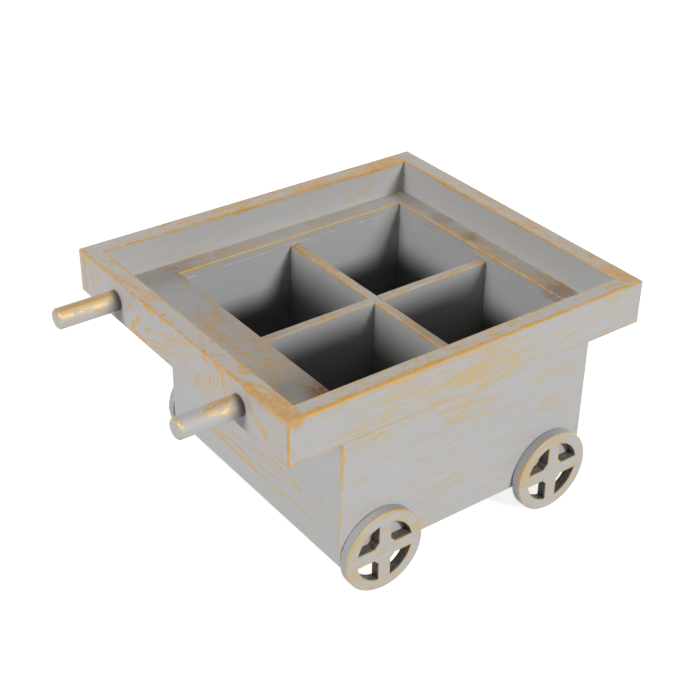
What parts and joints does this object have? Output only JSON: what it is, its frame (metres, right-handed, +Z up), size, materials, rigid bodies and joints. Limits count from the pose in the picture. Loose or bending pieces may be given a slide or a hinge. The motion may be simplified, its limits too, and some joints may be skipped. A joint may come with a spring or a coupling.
{
  "type": "drinks serving trolley",
  "caption": "Low wooden drinks trolley: a railed tray with dowel handles over a box of square compartments, rolling on spoked wooden wheels fixed to turning axles.",
  "frame": {"origin": "on the ground, under the middle of the whole trolley with its handles", "axes": "+X from the handles to the far end, +Y to the far side, +Z up"},
  "size_m": [0.277, 0.212, 0.147],
  "materials": {
    "painted_rail": "brushed grey paint with gold wax rubbed on the edges",
    "painted_board": "brushed grey paint with gold wax rubbed on the edges",
    "painted_divider": "brushed grey paint with gold wax rubbed on the upper edges",
    "painted_dowel": "grey paint with rubbed gold patches",
    "painted_wheel": "grey paint, gold rims, scorched dark inside the windows",
    "steel_axle": "bright drawn rod",
    "steel_brad": "plain wire, painted over at the head"
  },
  "bodies": {
    "trolley": {"handle_end_rail": "painted_rail", "far_end_rail": "painted_rail", "near_side_rail": "painted_rail", "far_side_rail": "painted_rail", "tray_floor": "painted_board", "near_side_wall": "painted_board", "far_side_wall": "painted_board", "handle_end_wall": "painted_board", "far_end_wall": "painted_board", "base_board": "painted_board", "long_divider": "painted_divider", "cross_divider": "painted_divider", "near_handle": "painted_dowel", "far_handle": "painted_dowel", "rail_corner_brads": "steel_brad", "floor_edge_brads": "steel_brad", "wall_corner_brads": "steel_brad", "tray_to_box_brads": "steel_brad", "base_brads": "steel_brad", "divider_brads": "steel_brad"},
    "handle_end_wheels": {"handle_end_axle": "steel_axle", "handle_end_near_wheel": "painted_wheel", "handle_end_far_wheel": "painted_wheel"},
    "far_end_wheels": {"far_end_axle": "steel_axle", "far_end_near_wheel": "painted_wheel", "far_end_far_wheel": "painted_wheel"}
  },
  "joints": [
    {"name": "handle_end_wheels_turn", "type": "hinge", "parent": "trolley", "child": "handle_end_wheels", "pos_m": [-0.03, 0, 0.026], "axis": [0, 1, 0], "continuous": true},
    {"name": "far_end_wheels_turn", "type": "hinge", "parent": "trolley", "child": "far_end_wheels", "pos_m": [0.095, 0, 0.026], "axis": [0, 1, 0], "continuous": true}
  ]
}
